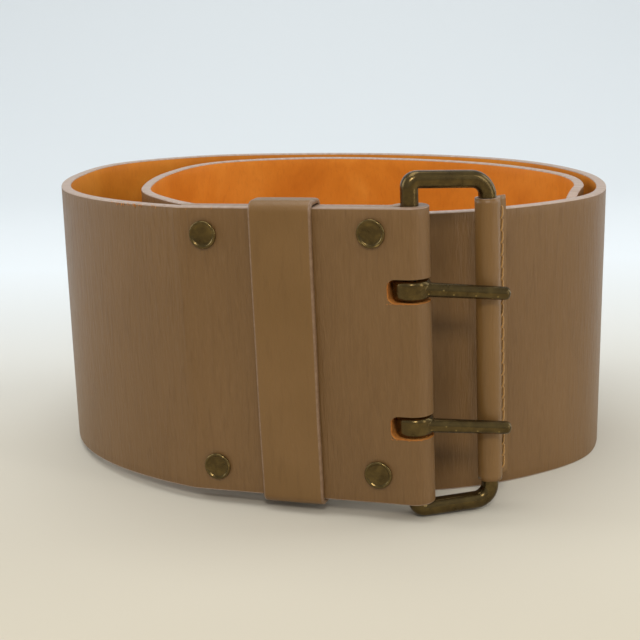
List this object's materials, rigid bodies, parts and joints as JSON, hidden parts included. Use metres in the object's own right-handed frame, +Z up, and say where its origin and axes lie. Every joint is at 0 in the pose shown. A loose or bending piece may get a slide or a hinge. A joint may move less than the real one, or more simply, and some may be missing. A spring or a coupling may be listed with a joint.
{
  "type": "coiled waist belt",
  "caption": "Very wide brown leather waist belt with a tan lining, coiled on its edge, with a two-prong old-brass buckle and a keeper loop.",
  "frame": {"origin": "middle of the belt's box, on the surface that it stands on", "axes": "+Z up, -Y is the front with the buckle, +X to the right seen from the front"},
  "size_m": [0.2107, 0.1943, 0.1171],
  "materials": {
    "face_leather": "satin, fine grain",
    "lining_leather": "smooth tan",
    "old_brass": "aged, worn bright on the ridges",
    "thread": "waxed thread"
  },
  "bodies": {
    "strap": {"strap_face": "face_leather", "strap_lining": "lining_leather", "rivet_near_lower": "old_brass", "rivet_near_upper": "old_brass", "rivet_far_lower": "old_brass", "rivet_far_upper": "old_brass", "rivet_cap_near_lower": "old_brass", "rivet_cap_near_upper": "old_brass", "rivet_cap_far_lower": "old_brass", "rivet_cap_far_upper": "old_brass"},
    "frame": {"buckle_frame": "old_brass", "bar_sleeve": "face_leather", "sleeve_stitching": "thread"},
    "upper_prong": {"prong_upper": "old_brass"},
    "lower_prong": {"prong_lower": "old_brass"},
    "keeper": {"keeper_loop": "face_leather", "keeper_staple": "old_brass"}
  },
  "joints": [
    {"name": "frame_pivot", "type": "hinge", "parent": "strap", "child": "frame", "pos_m": [0.02506, -0.09045, 0.05626], "axis": [-0.0216, 0.007, 0.9997], "range_deg": [-50, 12]},
    {"name": "upper_prong_pivot", "type": "hinge", "parent": "frame", "child": "upper_prong", "pos_m": [0.02506, -0.09045, 0.05626], "axis": [0.0216, -0.007, -0.9997], "range_deg": [0, 80]},
    {"name": "lower_prong_pivot", "type": "hinge", "parent": "frame", "child": "lower_prong", "pos_m": [0.02506, -0.09045, 0.05626], "axis": [0.0216, -0.007, -0.9997], "range_deg": [0, 80]},
    {"name": "keeper_slide", "type": "slide", "parent": "strap", "child": "keeper", "axis": [0.9508, -0.3089, 0.0227], "range_m": [-0.011, 0.013]}
  ]
}
